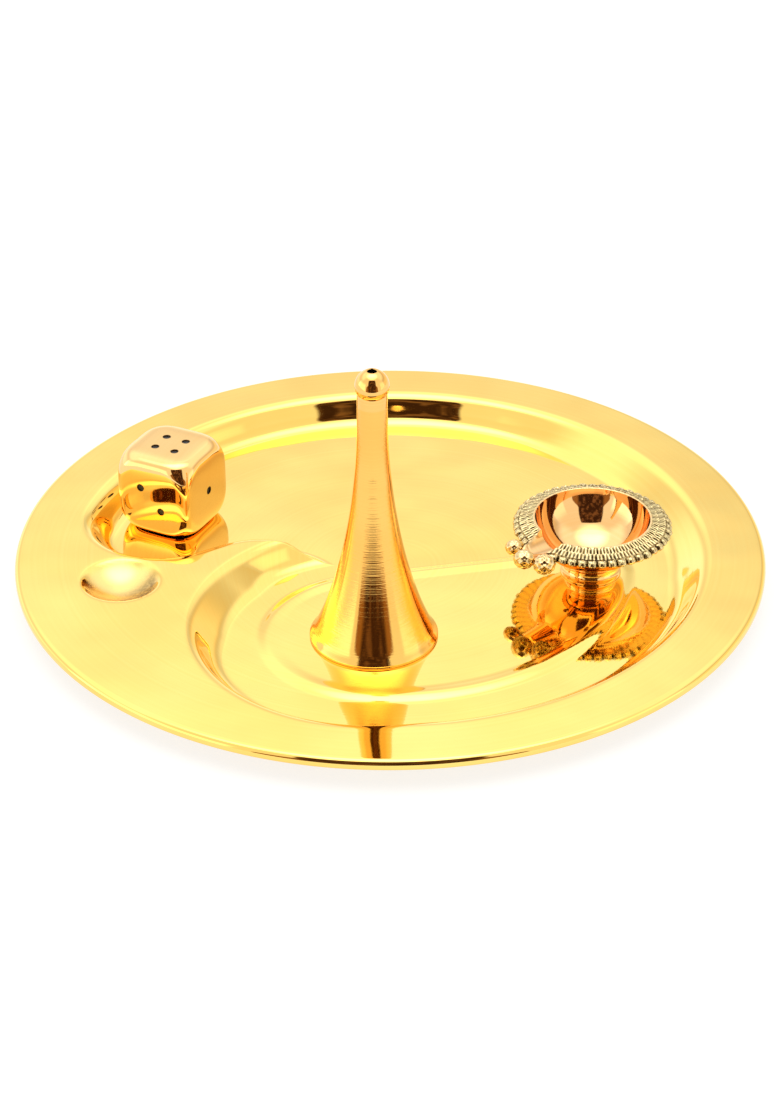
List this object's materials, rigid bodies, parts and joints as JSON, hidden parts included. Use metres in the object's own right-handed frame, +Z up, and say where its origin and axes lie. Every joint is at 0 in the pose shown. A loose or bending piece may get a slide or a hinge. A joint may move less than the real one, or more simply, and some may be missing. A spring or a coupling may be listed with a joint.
{
  "type": "puja thali",
  "caption": "Round pressed brass offering plate with a comma-shaped recess, carrying a loose trumpet-shaped incense stand, a small oil lamp with a scalloped rim and a brass die.",
  "frame": {"origin": "centre of the round plate, at the level of its lowest face, which stands on the table", "axes": "+Z up, -Y towards the near edge in the picture (the front lobe of the recess), +X towards the oil lamp"},
  "size_m": [0.25, 0.25, 0.0974],
  "materials": {
    "plate_brass": "mirror polished, bright yellow, with fine spin marks",
    "stand_brass": "polished, a little rosier, with fine lathe lines",
    "ball_brass": "polished",
    "lamp_brass": "polished inside, antiqued ornament on the rim",
    "foot_brass": "polished",
    "die_brass": "polished with soft ground edges",
    "pip_enamel": "black enamel"
  },
  "bodies": {
    "plate": {"thali_plate": "plate_brass"},
    "incense_stand": {"incense_stand_body": "stand_brass", "incense_stand_ball": "ball_brass"},
    "diya": {"diya_bowl": "lamp_brass", "diya_foot": "foot_brass"},
    "dice": {"dice_body": "die_brass", "dice_pips": "pip_enamel"}
  },
  "joints": [
    {"name": "stand_lift", "type": "slide", "parent": "plate", "child": "incense_stand", "axis": [0, 0, 1], "range_m": [0, 0.06]},
    {"name": "diya_lift", "type": "slide", "parent": "plate", "child": "diya", "axis": [0, 0, 1], "range_m": [0, 0.06]},
    {"name": "dice_lift", "type": "slide", "parent": "plate", "child": "dice", "axis": [0, 0, 1], "range_m": [0, 0.06]}
  ]
}
